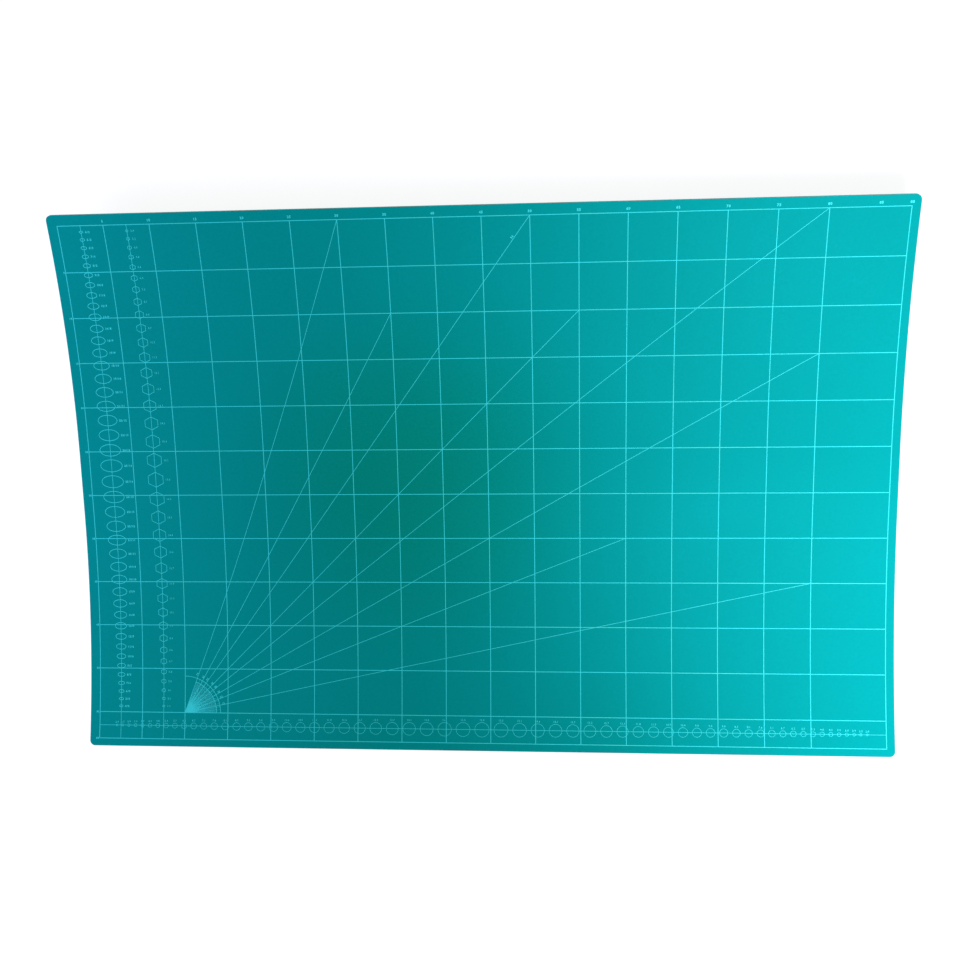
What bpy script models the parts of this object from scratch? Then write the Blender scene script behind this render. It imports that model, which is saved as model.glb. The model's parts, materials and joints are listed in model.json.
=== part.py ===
"""Craft cutting mat of A1 size, as the plies it is laminated from and the scales printed on it.

The mat has been stored rolled, so it rests on a flat band along its middle and both long edges curl up.
+X runs along the mat and +Y across it, to the edge where the printed grid starts. +Z is up, and the
origin is on the resting face, under the centre of the sheet.

A place on the sheet is given flat, as x along it and s across it, both from its centre, and h above its
underside. The function bent() turns that into a place in space, so every ply and every printed line
follows the same curl.
"""

import math
from bisect import bisect_right

import bmesh
import bpy
from mathutils import Vector
from mathutils.geometry import delaunay_2d_cdt

MM = 0.001

# Die-cut sheet
SHEET_LENGTH = 900 * MM
SHEET_WIDTH = 600 * MM
CORNER_RADIUS = 6 * MM
CORNER_STEPS = 4

# Curl left by the roll
RESTING_BAND = 60 * MM
CURL_RADIUS = 1000 * MM
LONGEST_FACET = 27 * MM

# Plies
SKIN_THICKNESS = 0.8 * MM
INNER_PLY_THICKNESS = 0.4 * MM
CORE_THICKNESS = 0.6 * MM

# Printed grid, with the margins from the sheet's edges to its border line
MARGIN_START = 11 * MM
MARGIN_END = 9 * MM
MARGIN_TOP = 11.5 * MM
MARGIN_BOTTOM = 8.5 * MM
SQUARE = 50 * MM
SQUARES_LEFT_OPEN = 1
GRID_LINE = 0.75 * MM

# Centre lines of the template rows, from the start border and from the bottom border
TEMPLATE_COLUMNS = (25 * MM, 75 * MM)
TEMPLATE_ROW = 15 * MM
TEMPLATE_LINE = 0.5 * MM

# Angle fan. Each ray runs to a crossing, counted in squares along and up from the fan's apex.
APEX_COLUMN = 2
RAY_ENDS = ((4, 11), (5, 9), (8, 11), (9, 9), (14, 11), (14, 8), (10, 4), (14, 3))
RAY_LINE = 0.55 * MM
PROTRACTOR_INNER = 37 * MM
PROTRACTOR_OUTER = 41.5 * MM
PROTRACTOR_ARC = 0.5 * MM
PROTRACTOR_MARK = 0.3 * MM
PROTRACTOR_STEP = 5
PROTRACTOR_HUB = 4 * MM

# Ink films, and the bond line under each, which keeps them off what they lie on
INK = 0.06 * MM
BOND_LINE = 0.02 * MM

# How the flat shapes of an ink film are joined: any triangle, and places this near in mm as one
TRIANGLES = 0
SAME_PLACE = 1e-4

# Faces that meet at less than this are shaded as one round surface
SHARP_ANGLE = math.radians(20)

# Colours and roughness of each material
GREEN = (0.0, 0.31, 0.34, 1)
MILKY = (0.62, 0.66, 0.64, 1)
GREY = (0.2, 0.21, 0.21, 1)
PALE_CYAN = (0.05, 0.78, 0.92, 1)
INK_ROUGHNESS = 0.4

# Bottom to top: name, thickness, colour and roughness
PLIES = (
    ("bottom_skin", SKIN_THICKNESS, GREEN, 0.55),
    ("lower_inner_ply", INNER_PLY_THICKNESS, MILKY, 0.6),
    ("rigid_core", CORE_THICKNESS, GREY, 0.6),
    ("upper_inner_ply", INNER_PLY_THICKNESS, MILKY, 0.6),
    ("top_skin", SKIN_THICKNESS, GREEN, 0.5),
)
THICKNESS = sum(ply[1] for ply in PLIES)


# The curl

def crease_lines():
    """Distances s of the lines where the sheet bends, edge to edge, as the ends of its flat facets."""
    half_band = RESTING_BAND / 2
    half_width = SHEET_WIDTH / 2
    facets = math.ceil((half_width - half_band) / LONGEST_FACET)
    facet = (half_width - half_band) / facets
    one_side = [half_band + i * facet for i in range(facets)] + [half_width]
    return [-s for s in reversed(one_side)] + one_side


CREASES = crease_lines()


def on_curl(s, h):
    """The place (y, z) at the distance s across the sheet and the height h above its underside.

    The plies bend about the middle of the thickness, which keeps its length.
    """
    half_band = RESTING_BAND / 2
    turn = max(abs(s) - half_band, 0) / CURL_RADIUS
    side = math.copysign(1, s)
    above_middle = h - THICKNESS / 2
    y = min(abs(s), half_band) + (CURL_RADIUS - above_middle) * math.sin(turn)
    z = h + (CURL_RADIUS - above_middle) * (1 - math.cos(turn))
    return side * y, z


def bent(x, s, h):
    """A place of the flat sheet in space, on the flat facet between two creases."""
    last = len(CREASES) - 1
    after = min(max(bisect_right(CREASES, s), 1), last)
    before_s, after_s = CREASES[after - 1], CREASES[after]
    share = (s - before_s) / (after_s - before_s)
    before = on_curl(before_s, h)
    beyond = on_curl(after_s, h)
    y = before[0] + share * (beyond[0] - before[0])
    z = before[1] + share * (beyond[1] - before[1])
    return Vector((x, y, z))


# Objects and materials

def material(name, colour, roughness):
    made = bpy.data.materials.new(name)
    made.use_nodes = True
    shader = made.node_tree.nodes["Principled BSDF"]
    shader.inputs["Base Color"].default_value = colour
    shader.inputs["Roughness"].default_value = roughness
    shader.inputs["Metallic"].default_value = 0.0
    made.diffuse_color = colour
    return made


def object_from(bm, name, colour, roughness, parent):
    mesh = bpy.data.meshes.new(name)
    bm.to_mesh(mesh)
    bm.free()
    mesh.shade_smooth()
    mesh.set_sharp_from_angle(angle=SHARP_ANGLE)
    mesh.materials.append(material(name, colour, roughness))
    piece = bpy.data.objects.new(name, mesh)
    piece.parent = parent
    bpy.context.collection.objects.link(piece)
    return piece


# Plies

def half_length(s):
    """Half the sheet's length at the distance s, drawn in by the round corners near both edges."""
    into_corner = max(abs(s) - (SHEET_WIDTH / 2 - CORNER_RADIUS), 0)
    bulge = math.sqrt(max(CORNER_RADIUS ** 2 - into_corner ** 2, 0))
    return SHEET_LENGTH / 2 - CORNER_RADIUS + bulge


def rows():
    """Distances s of the rows that a ply is lofted through: each crease, and steps round the corners."""
    straight_end = SHEET_WIDTH / 2 - CORNER_RADIUS
    one_side = [s for s in CREASES[:-1] if s > 0]
    for step in range(CORNER_STEPS + 1):
        one_side.append(straight_end + CORNER_RADIUS * math.sin(math.radians(90) * step / CORNER_STEPS))
    one_side.sort()
    return [-s for s in reversed(one_side)] + one_side


def ply(name, low, high, colour, roughness, parent):
    """One ply between two heights, lofted row by row across the sheet."""
    bm = bmesh.new()
    sections = []
    for s in rows():
        half = half_length(s)
        corners = (bent(-half, s, low), bent(half, s, low), bent(half, s, high), bent(-half, s, high))
        sections.append([bm.verts.new(corner) for corner in corners])
    bm.faces.new(sections[0])
    for near, far in zip(sections, sections[1:]):
        for i in range(4):
            j = (i + 1) % 4
            bm.faces.new((near[j], near[i], far[i], far[j]))
    bm.faces.new(reversed(sections[-1]))
    return object_from(bm, name, colour, roughness, parent)


# Printed lines, as flat polygons in (x, s)

def bar(start, end, width):
    """A straight line, run half its width past both ends so that corners close."""
    start, end = Vector(start), Vector(end)
    along = (end - start).normalized() * width / 2
    aside = Vector((-along.y, along.x))
    start = start - along
    end = end + along
    return [start - aside, end - aside, end + aside, start + aside]


def arc_bars(centre, radius, width, steps):
    """A quarter circle from along the sheet to up it, as one short piece for each step."""
    pieces = []
    for step in range(steps):
        corners = []
        for turn, r in ((step, radius - width / 2), (step, radius + width / 2),
                        (step + 1, radius + width / 2), (step + 1, radius - width / 2)):
            angle = math.radians(90) * turn / steps
            corners.append(centre + r * Vector((math.cos(angle), math.sin(angle))))
        pieces.append(corners)
    return pieces


PRINT_START = -SHEET_LENGTH / 2 + MARGIN_START
PRINT_END = SHEET_LENGTH / 2 - MARGIN_END
PRINT_TOP = SHEET_WIDTH / 2 - MARGIN_TOP
PRINT_BOTTOM = -SHEET_WIDTH / 2 + MARGIN_BOTTOM
COLUMNS = int((PRINT_END - PRINT_START) / SQUARE) - SQUARES_LEFT_OPEN
ROWS = int((PRINT_TOP - PRINT_BOTTOM) / SQUARE)


def crossing(column, row):
    """The crossing of two grid lines, counted along from the start border and down from the top one."""
    return Vector((PRINT_START + column * SQUARE, PRINT_TOP - row * SQUARE))


def grid_lines():
    """The border, a line at each square, and the centre lines that the templates stand on."""
    lines = []
    for x in [crossing(column, 0).x for column in range(COLUMNS + 1)] + [PRINT_END]:
        lines.append(bar((x, PRINT_BOTTOM), (x, PRINT_TOP), GRID_LINE))
    for s in [crossing(0, row).y for row in range(ROWS + 1)] + [PRINT_BOTTOM]:
        lines.append(bar((PRINT_START, s), (PRINT_END, s), GRID_LINE))
    for from_border in TEMPLATE_COLUMNS:
        x = PRINT_START + from_border
        lines.append(bar((x, PRINT_BOTTOM), (x, PRINT_TOP), TEMPLATE_LINE))
    s = PRINT_BOTTOM + TEMPLATE_ROW
    lines.append(bar((PRINT_START, s), (PRINT_END, s), TEMPLATE_LINE))
    return lines


def angle_fan():
    """Rays from a crossing of the lowest grid line, and the small protractor around their apex."""
    apex = crossing(APEX_COLUMN, ROWS)
    lines = []
    for squares_along, squares_up in RAY_ENDS:
        reach = min(1, (COLUMNS - APEX_COLUMN) / squares_along, ROWS / squares_up)
        end = apex + reach * SQUARE * Vector((squares_along, squares_up))
        lines.append(bar(apex, end, RAY_LINE))
    for angle in range(PROTRACTOR_STEP, 90, PROTRACTOR_STEP):
        direction = Vector((math.cos(math.radians(angle)), math.sin(math.radians(angle))))
        radius = PROTRACTOR_OUTER if angle % (2 * PROTRACTOR_STEP) == 0 else PROTRACTOR_INNER
        lines.append(bar(apex + PROTRACTOR_HUB * direction, apex + radius * direction, PROTRACTOR_MARK))
    for radius in (PROTRACTOR_HUB, PROTRACTOR_INNER, PROTRACTOR_OUTER):
        lines += arc_bars(apex, radius, PROTRACTOR_ARC, 90 // PROTRACTOR_STEP)
    return lines


def ink_film(name, shapes, low, parent):
    """One closed film from flat shapes that may cross, creased with the sheet.

    A constrained triangulation joins the shapes where they cross and splits them at each crease. Its
    triangles inside a shape become the film's two faces, and their outer edges its walls.
    """
    points = []
    faces = []
    for shape in shapes:
        faces.append(list(range(len(points), len(points) + len(shape))))
        points += [Vector(place) / MM for place in shape]
    edges = []
    for s in CREASES[1:-1]:
        edges.append((len(points), len(points) + 1))
        points += [Vector((-SHEET_LENGTH, s)) / MM, Vector((SHEET_LENGTH, s)) / MM]
    found = delaunay_2d_cdt(points, edges, faces, TRIANGLES, SAME_PLACE)
    places = found[0]
    cells = [face for face, sources in zip(found[2], found[5]) if sources]

    bm = bmesh.new()
    lower, upper = {}, {}
    for index in sorted({index for cell in cells for index in cell}):
        x, s = places[index] * MM
        lower[index] = bm.verts.new(bent(x, s, low))
        upper[index] = bm.verts.new(bent(x, s, low + INK))
    sides = {(cell[i - 1], cell[i]) for cell in cells for i in range(3)}
    for cell in cells:
        bm.faces.new([upper[index] for index in cell])
        bm.faces.new([lower[index] for index in reversed(cell)])
    for a, b in sorted(sides):
        if (b, a) not in sides:
            bm.faces.new((lower[a], lower[b], upper[b], upper[a]))
    return object_from(bm, name, PALE_CYAN, INK_ROUGHNESS, parent)


# Build

def main():
    for old in list(bpy.data.objects):
        bpy.data.objects.remove(old, do_unlink=True)
    mat = bpy.data.objects.new("cutting_mat", None)
    bpy.context.collection.objects.link(mat)

    low = 0.0
    for name, thickness, colour, roughness in PLIES:
        high = low + thickness
        ply(name, low, high, colour, roughness, mat)
        low = high
    grid_low = low + BOND_LINE
    fan_low = grid_low + INK + BOND_LINE
    for piece in (
        ink_film("printed_grid", grid_lines(), grid_low, mat),
        ink_film("printed_angle_fan", angle_fan(), fan_low, mat),
    ):
        print(piece.name, len(piece.data.polygons), "faces")


main()
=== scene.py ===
# %% [markdown]
# # A self-healing cutting mat
#
# A cutting mat looks like the simplest thing in the workshop: a sheet of green PVC with lines on it. What
# makes it look real is in three places. The sheet remembers the roll it was stored in, so it never lies quite
# flat. Its edge shows the plies it was pressed from. And its print is a full set of measuring tools: a grid,
# an angle fan, and rows of ellipses, hexagons and circles that grow and shrink again.
#
# The pieces are first laid out flat, the way the printer sees them, and one small node tree then gives them
# all the same curl. We start from the frame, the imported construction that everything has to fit.

# %% Load the frame
import json
import math

import bmesh
import bpy
from mathutils import Matrix, Vector
from mathutils.geometry import delaunay_2d_cdt

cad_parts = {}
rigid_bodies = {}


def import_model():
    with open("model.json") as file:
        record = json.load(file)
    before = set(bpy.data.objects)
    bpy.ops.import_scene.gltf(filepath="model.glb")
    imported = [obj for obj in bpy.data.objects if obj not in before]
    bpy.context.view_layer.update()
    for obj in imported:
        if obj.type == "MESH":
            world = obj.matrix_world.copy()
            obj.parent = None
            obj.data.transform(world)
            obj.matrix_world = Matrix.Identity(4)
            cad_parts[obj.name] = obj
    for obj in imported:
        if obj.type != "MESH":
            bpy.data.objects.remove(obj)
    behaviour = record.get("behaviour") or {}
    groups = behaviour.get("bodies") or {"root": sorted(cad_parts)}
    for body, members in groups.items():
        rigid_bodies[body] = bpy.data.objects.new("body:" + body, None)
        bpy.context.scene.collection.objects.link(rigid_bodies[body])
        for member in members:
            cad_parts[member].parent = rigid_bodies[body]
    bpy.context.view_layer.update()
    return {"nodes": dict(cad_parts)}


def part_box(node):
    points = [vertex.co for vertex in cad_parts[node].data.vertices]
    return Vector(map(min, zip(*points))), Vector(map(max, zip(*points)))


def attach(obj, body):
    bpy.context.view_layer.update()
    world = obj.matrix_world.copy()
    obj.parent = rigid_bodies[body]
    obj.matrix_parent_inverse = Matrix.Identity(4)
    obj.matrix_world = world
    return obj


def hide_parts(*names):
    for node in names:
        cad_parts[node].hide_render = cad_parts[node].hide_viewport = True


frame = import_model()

print("The frame has", ", ".join(sorted(frame["nodes"])))

# %% [markdown]
# ## Sizes
#
# Printed scales are in centimetres and the plies in tenths of a millimetre, so the sizes below are written in
# millimetres and turned into metres by one factor. The heights of the plies aren't typed in again: they are
# read from the frame, on the flat band along the middle where the mat touches the table.

# %% Sizes of the sheet and of its curl
MM = 0.001
SHEET_LENGTH = 900 * MM
SHEET_WIDTH = 600 * MM
CORNER_RADIUS = 6 * MM
RESTING_BAND = 60 * MM
CURL_RADIUS = 1000 * MM
PLY_NAMES = ("bottom_skin", "lower_inner_ply", "rigid_core", "upper_inner_ply", "top_skin")


def heights_on_band(name):
    """The lowest and the highest vertex of a node on the flat band."""
    limit = RESTING_BAND / 2 + MM
    heights = [v.co.z for v in frame["nodes"][name].data.vertices if abs(v.co.y) < limit]
    return min(heights), max(heights)


ply_heights = {name: heights_on_band(name) for name in PLY_NAMES}
THICKNESS = ply_heights["top_skin"][1]
for name in PLY_NAMES:
    low, high = ply_heights[name]
    print(f"{name}: {low / MM:.2f} to {high / MM:.2f} mm above the table")

# %% [markdown]
# ## The printer's drawing
#
# Every mark is placed from the corner where the scales start, so many centimetres along the mat and so many
# down from the top border. This is how a person reads the mat, and it keeps the numbers in the script
# readable. Flat places are x along the mat and y across it, before the sheet is bent.

# %% Places on the print
CM = 10 * MM
START_MARGIN = 11 * MM
END_MARGIN = 9 * MM
TOP_MARGIN = 11.5 * MM
BOTTOM_MARGIN = 8.5 * MM
PRINT_START = -SHEET_LENGTH / 2 + START_MARGIN
PRINT_END = SHEET_LENGTH / 2 - END_MARGIN
PRINT_TOP = SHEET_WIDTH / 2 - TOP_MARGIN
PRINT_BOTTOM = -SHEET_WIDTH / 2 + BOTTOM_MARGIN
SQUARE_CM = 5
COLUMNS = 16
ROWS = 11
END_CM = (PRINT_END - PRINT_START) / CM
DEPTH_CM = (PRINT_TOP - PRINT_BOTTOM) / CM


def spot(along_cm, down_cm):
    """The flat place of a mark, by its distances on the printed scales."""
    return Vector((PRINT_START + along_cm * CM, PRINT_TOP - down_cm * CM))


print(f"The print is {END_CM:.0f} x {DEPTH_CM:.0f} cm")

# %% [markdown]
# ## Camera
#
# The photograph was taken from above, a little over a metre away and almost square to the mat. The long top
# edge is the nearer one, which is why it looks longer than the bottom edge.

# %% Camera
CAMERA_PLACE = (0.1045, 0.2262, 1.2239)
CAMERA_TURN = (-10.361, 4.602, -1.120)

camera_data = bpy.data.cameras.new("camera")
camera_data.lens = 42.5
camera_data.sensor_width = 36
camera = bpy.data.objects.new("camera", camera_data)
camera.location = CAMERA_PLACE
camera.rotation_euler = [math.radians(degrees) for degrees in CAMERA_TURN]
bpy.context.scene.collection.objects.link(camera)
bpy.context.scene.camera = camera
print("The camera is", round(camera.location.length, 2), "m from the middle of the mat")

# %% [markdown]
# ## A short way to write node trees
#
# Geometry nodes and shader nodes are the same thing to Python: make a node, set its options, and either type
# a value into each socket or plug another node in. The first helper does this, the next five name what is
# needed again and again, and the last one makes a group with named sockets. With them a tree reads from top
# to bottom like a recipe.

# %% Node helpers
def node(tree, kind, values=(), **options):
    """A new node. Values go by socket name or number, and another node's socket is plugged in."""
    made = tree.nodes.new(kind)
    for option, setting in options.items():
        setattr(made, option, setting)
    for socket, value in dict(values).items():
        if isinstance(value, bpy.types.NodeSocket):
            tree.links.new(value, made.inputs[socket])
        else:
            made.inputs[socket].default_value = value
    return made


def maths(tree, operation, *values):
    return node(tree, "ShaderNodeMath", enumerate(values), operation=operation).outputs[0]


def vector(tree, **parts):
    """A vector from any of X, Y and Z."""
    return node(tree, "ShaderNodeCombineXYZ", parts).outputs[0]


def point_places(tree):
    """The X, Y and Z of each point of the geometry."""
    position = node(tree, "GeometryNodeInputPosition").outputs[0]
    return node(tree, "ShaderNodeSeparateXYZ", {"Vector": position}).outputs


def moved(tree, geometry, position):
    return node(tree, "GeometryNodeSetPosition", {"Geometry": geometry, "Position": position}).outputs[0]


def together(tree, *parts):
    """Several geometries as one."""
    meeting = node(tree, "GeometryNodeJoinGeometry")
    for part in parts:
        tree.links.new(part, meeting.inputs[0])
    return meeting.outputs[0]


def group(name, kind, inputs, outputs):
    """A node group. Inputs and outputs are pairs of a name and a socket type."""
    tree = bpy.data.node_groups.new(name, kind)
    for label, socket in inputs:
        tree.interface.new_socket(label, in_out="INPUT", socket_type="NodeSocket" + socket)
    for label, socket in outputs:
        tree.interface.new_socket(label, in_out="OUTPUT", socket_type="NodeSocket" + socket)
    return tree, node(tree, "NodeGroupInput").outputs, node(tree, "NodeGroupOutput").inputs


GEOMETRY = [("Geometry", "Geometry")]

# %% [markdown]
# ## The curl
#
# A sheet that comes off a roll bends like an arch: its middle stays as long as it was, and each side turns up
# on a circle. For a flat place that lies further than half the resting band from the middle line, the
# distance beyond the band, divided by the radius, is the angle it has turned. Sine and cosine of that angle
# give the new place. One group does this to any geometry, so the skin and the ink on it can never part.

# %% Curl group
curl_group, inside, out = group(
    "Curl left by the roll", "GeometryNodeTree",
    GEOMETRY + [("Resting band", "Float"), ("Radius", "Float"), ("Thickness", "Float")], GEOMETRY)
flat = point_places(curl_group)
half_band = maths(curl_group, "MULTIPLY", inside["Resting band"], 0.5)
across = maths(curl_group, "ABSOLUTE", flat["Y"])
beyond = maths(curl_group, "MAXIMUM", maths(curl_group, "SUBTRACT", across, half_band), 0)
turn = maths(curl_group, "DIVIDE", beyond, inside["Radius"])
above_middle = maths(curl_group, "MULTIPLY_ADD", inside["Thickness"], -0.5, flat["Z"])
arm = maths(curl_group, "SUBTRACT", inside["Radius"], above_middle)
sideways = maths(curl_group, "ADD", maths(curl_group, "MINIMUM", across, half_band),
                 maths(curl_group, "MULTIPLY", arm, maths(curl_group, "SINE", turn)))
lift = maths(curl_group, "SUBTRACT", 1, maths(curl_group, "COSINE", turn))
bent = vector(curl_group, X=flat["X"],
              Y=maths(curl_group, "MULTIPLY", sideways, maths(curl_group, "SIGN", flat["Y"])),
              Z=maths(curl_group, "MULTIPLY_ADD", arm, lift, flat["Z"]))
curl_group.links.new(moved(curl_group, inside["Geometry"], bent), out["Geometry"])
print("The curl group has", len(curl_group.nodes), "nodes")

# %% [markdown]
# ## From a node tree to a plain mesh
#
# A tree works as a modifier on a carrier object. Its inputs are set by the identifier of each socket, and
# only then is the object evaluated. The result is copied into a plain mesh and the carrier goes away, so the
# finished piece has no modifier left and sits at the origin with its place in its mesh.

# %% Freezing a tree's result
SHARP = math.radians(20)


def add_tree(carrier, tree, **values):
    """The tree as a modifier, with values by input name in small letters."""
    modifier = carrier.modifiers.new(tree.name, "NODES")
    modifier.node_group = tree
    for item in tree.interface.items_tree:
        key = item.name.lower().replace(" ", "_")
        if item.in_out == "INPUT" and key in values:
            modifier[item.identifier] = values[key]


def carrier_of(name, data=None):
    made = bpy.data.objects.new(name, data or bpy.data.meshes.new(name))
    bpy.context.scene.collection.objects.link(made)
    return made


def plain_mesh(carrier):
    """The evaluated carrier as a mesh. The carrier itself is removed."""
    depsgraph = bpy.context.evaluated_depsgraph_get()
    mesh = bpy.data.meshes.new_from_object(carrier.evaluated_get(depsgraph))
    bpy.data.objects.remove(carrier)
    return mesh


def frozen(carrier, name):
    """The evaluated carrier as a plain piece of that name."""
    mesh = plain_mesh(carrier)
    mesh.name = name
    mesh.shade_smooth()
    mesh.set_sharp_from_angle(angle=SHARP)
    print(f"{name}: {len(mesh.polygons)} faces")
    return carrier_of(name, mesh)


# %% [markdown]
# ## Effects that the finishes share
#
# Calendered PVC is pressed between rollers, which leaves a fine pebbled grain. Its colour drifts a little
# from place to place, and handling leaves faint hairlines that show in the gloss and hardly in the colour.
# Each effect is a shader group, so every finish that needs it can wear it in its own strength.

# %% Shader groups
def object_place(tree):
    return node(tree, "ShaderNodeTexCoord").outputs["Object"]


def noise(tree, where, scale, detail=2):
    """Soft noise between 0 and 1. The scale counts its patches in a metre."""
    return node(tree, "ShaderNodeTexNoise", {
        "Vector": where, "Scale": scale, "Detail": detail}).outputs["Fac"]


grain_group, inside, out = group(
    "Calendered grain", "ShaderNodeTree", [("Grain size", "Float")], [("Height", "Float")])
per_metre = maths(grain_group, "DIVIDE", 1, inside["Grain size"])
where = object_place(grain_group)
pebbles = node(grain_group, "ShaderNodeTexVoronoi", {"Vector": where, "Scale": per_metre},
               feature="SMOOTH_F1").outputs["Distance"]
rubbing = noise(grain_group, where, maths(grain_group, "MULTIPLY", per_metre, 0.35))
grain_group.links.new(maths(grain_group, "MULTIPLY_ADD", rubbing, 0.6, pebbles), out["Height"])

drift_group, inside, out = group(
    "Tint drift", "ShaderNodeTree",
    [("Colour", "Color"), ("Amount", "Float"), ("Patch size", "Float")], [("Colour", "Color")])
patches = noise(drift_group, object_place(drift_group),
                maths(drift_group, "DIVIDE", 1, inside["Patch size"]), detail=4)
swing = maths(drift_group, "MULTIPLY", maths(drift_group, "SUBTRACT", patches, 0.5), inside["Amount"])
tinted = node(drift_group, "ShaderNodeHueSaturation", {
    "Hue": maths(drift_group, "MULTIPLY_ADD", swing, 0.1, 0.5),
    "Value": maths(drift_group, "MULTIPLY_ADD", swing, 2, 1),
    "Color": inside["Colour"],
})
drift_group.links.new(tinted.outputs[0], out["Colour"])

hairline_group, inside, out = group(
    "Handling hairlines", "ShaderNodeTree",
    [("Turn", "Float"), ("Spacing", "Float"), ("Amount", "Float")], [("Mask", "Float")])
turned = node(hairline_group, "ShaderNodeVectorRotate", {
    "Vector": object_place(hairline_group), "Angle": inside["Turn"]}, rotation_type="Z_AXIS").outputs[0]
wobble = node(hairline_group, "ShaderNodeTexNoise", {"Vector": turned, "Scale": 3}).outputs["Color"]
bent_place = node(hairline_group, "ShaderNodeVectorMath", {0: wobble, 1: (0.04, 0.04, 0), 2: turned},
                  operation="MULTIPLY_ADD").outputs[0]
stretched = node(hairline_group, "ShaderNodeMapping",
                 {"Vector": bent_place, "Scale": (0.02, 1, 0.02)}).outputs[0]
streaks = noise(hairline_group, stretched, maths(hairline_group, "DIVIDE", 1, inside["Spacing"]), detail=3)
lines = node(hairline_group, "ShaderNodeMapRange", {
    "Value": streaks, "From Min": 0.70, "From Max": 0.80, "To Max": inside["Amount"]}).outputs[0]
hairline_group.links.new(lines, out["Mask"])
print("Shader groups:", ", ".join(g.name for g in (grain_group, drift_group, hairline_group)))

# %% [markdown]
# ## The finishes
#
# Five materials cover the mat. The skin is a saturated blue green whose gloss is low and soft. Its printed
# side has painted shade in the middle, a darker and greener patch with an uneven edge, and its underside is
# duller and has a deeper grain. The milky plies and the grey core only show as thin bands at the cut edge,
# where the die has left fine upright streaks. The ink is a pale cyan film, so thin that the grain still shows
# through and the green tints it where it is worn. The photograph has no white haze anywhere on the green, so
# the gloss of the skin and the ink takes the tint of the sheet.

# %% Colours and scales of the finishes
GREEN = (0.0, 0.31, 0.34, 1)
# The darker, greener colour of the painted shade in the middle of the printed side.
PAINTED_SHADE_GREEN = (0.0, 0.272, 0.238, 1)
MILKY = (0.50, 0.66, 0.64, 1)
GREY = (0.15, 0.21, 0.21, 1)
PALE_CYAN = (0.05, 0.78, 0.89, 1)
SHEEN_TINT = (0.05, 1.0, 1.0, 1)
SHEEN_LEVEL = 0.2

# Where the painted shade on the printed side lies, how far it reaches and how uneven its edge is.
PAINTED_SHADE_CENTRE = (-0.075, 0.005, 0)
PAINTED_SHADE_REACH = 0.27
PAINTED_SHADE_EDGE_SCALE = 7
GRAIN_SIZE = 0.45 * MM
BLOTCH_SCALE = 9
DIE_STREAK_SCALE = 1500
INK_SPECKLE_SCALE = 900
print("The grain's pebbles are", round(GRAIN_SIZE / MM, 2), "mm wide")

# %% [markdown]
# Each kind of finish has a function of its own, because two materials of a kind differ only in colour, in
# how rough they are and in the painted shade they carry. What varies over the surface comes from the shared
# effects, and a level that is the same all over is typed into the shader's own socket.

# %% Materials
def placed(tree, shared, **values):
    """A shared group placed in a material, with its values by socket name."""
    named = {key.replace("_", " ").capitalize(): value for key, value in values.items()}
    return node(tree, "ShaderNodeGroup", named, node_tree=shared).outputs[0]


def material(name):
    made = bpy.data.materials.new(name)
    made.use_nodes = True
    return made, made.node_tree, made.node_tree.nodes["Principled BSDF"].inputs


def bumped(tree, height, distance, strength):
    return node(tree, "ShaderNodeBump", {
        "Height": height, "Distance": distance, "Strength": strength}).outputs["Normal"]


def blended(tree, share, colour, other_colour):
    """The colour where the share is 0, and the other colour where it is 1."""
    return node(tree, "ShaderNodeMix", {0: share, 6: colour, 7: other_colour}, data_type="RGBA").outputs[2]


def give_tinted_sheen(shader):
    shader["Specular IOR Level"].default_value = SHEEN_LEVEL
    shader["Specular Tint"].default_value = SHEEN_TINT


def worn_middle(tree, colour, painted_shade_colour):
    """The colour, gently blended into a painted shade colour around one place, with an uneven edge."""
    # Painted shade: near the centre the colour turns into the darker shade colour, with a noisy edge.
    centred = node(tree, "ShaderNodeMapping", {
        "Vector": object_place(tree), "Location": [-c / PAINTED_SHADE_REACH for c in PAINTED_SHADE_CENTRE],
        "Scale": [1 / PAINTED_SHADE_REACH] * 3}).outputs[0]
    near = node(tree, "ShaderNodeTexGradient", {"Vector": centred}, gradient_type="SPHERICAL").outputs["Fac"]
    uneven = maths(tree, "SUBTRACT", noise(tree, object_place(tree), PAINTED_SHADE_EDGE_SCALE, detail=3), 0.5)
    painted_shade_share = node(tree, "ShaderNodeMapRange", {
        "Value": maths(tree, "MULTIPLY_ADD", uneven, 0.3, near), "From Min": 0.05, "From Max": 0.95,
    }, interpolation_type="SMOOTHSTEP").outputs[0]
    return blended(tree, painted_shade_share, colour, painted_shade_colour)


def skin_material(name, colour, roughness, grain_depth, painted_shade_colour=None):
    made, tree, shader = material(name)
    # Where a shade colour is given, the middle of the sheet gets painted shade, darker and greener.
    sheet_colour = worn_middle(tree, colour, painted_shade_colour) if painted_shade_colour else colour
    drifted = placed(tree, drift_group, colour=sheet_colour, amount=0.07, patch_size=0.16)
    tint = placed(tree, drift_group, colour=drifted, amount=0.10, patch_size=3 * MM)
    one_way = placed(tree, hairline_group, turn=0.3, spacing=0.004, amount=0.10)
    other_way = placed(tree, hairline_group, turn=1.9, spacing=0.006, amount=0.08)
    marks = maths(tree, "ADD", one_way, other_way)
    blotches = noise(tree, object_place(tree), BLOTCH_SCALE, detail=5)
    satin = maths(tree, "MULTIPLY_ADD", maths(tree, "SUBTRACT", blotches, 0.5), 0.12, roughness)
    grain = placed(tree, grain_group, grain_size=GRAIN_SIZE)
    tree.links.new(tint, shader["Base Color"])
    tree.links.new(maths(tree, "SUBTRACT", satin, marks), shader["Roughness"])
    tree.links.new(bumped(tree, grain, distance=0.04 * MM, strength=grain_depth), shader["Normal"])
    give_tinted_sheen(shader)
    return made


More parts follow.
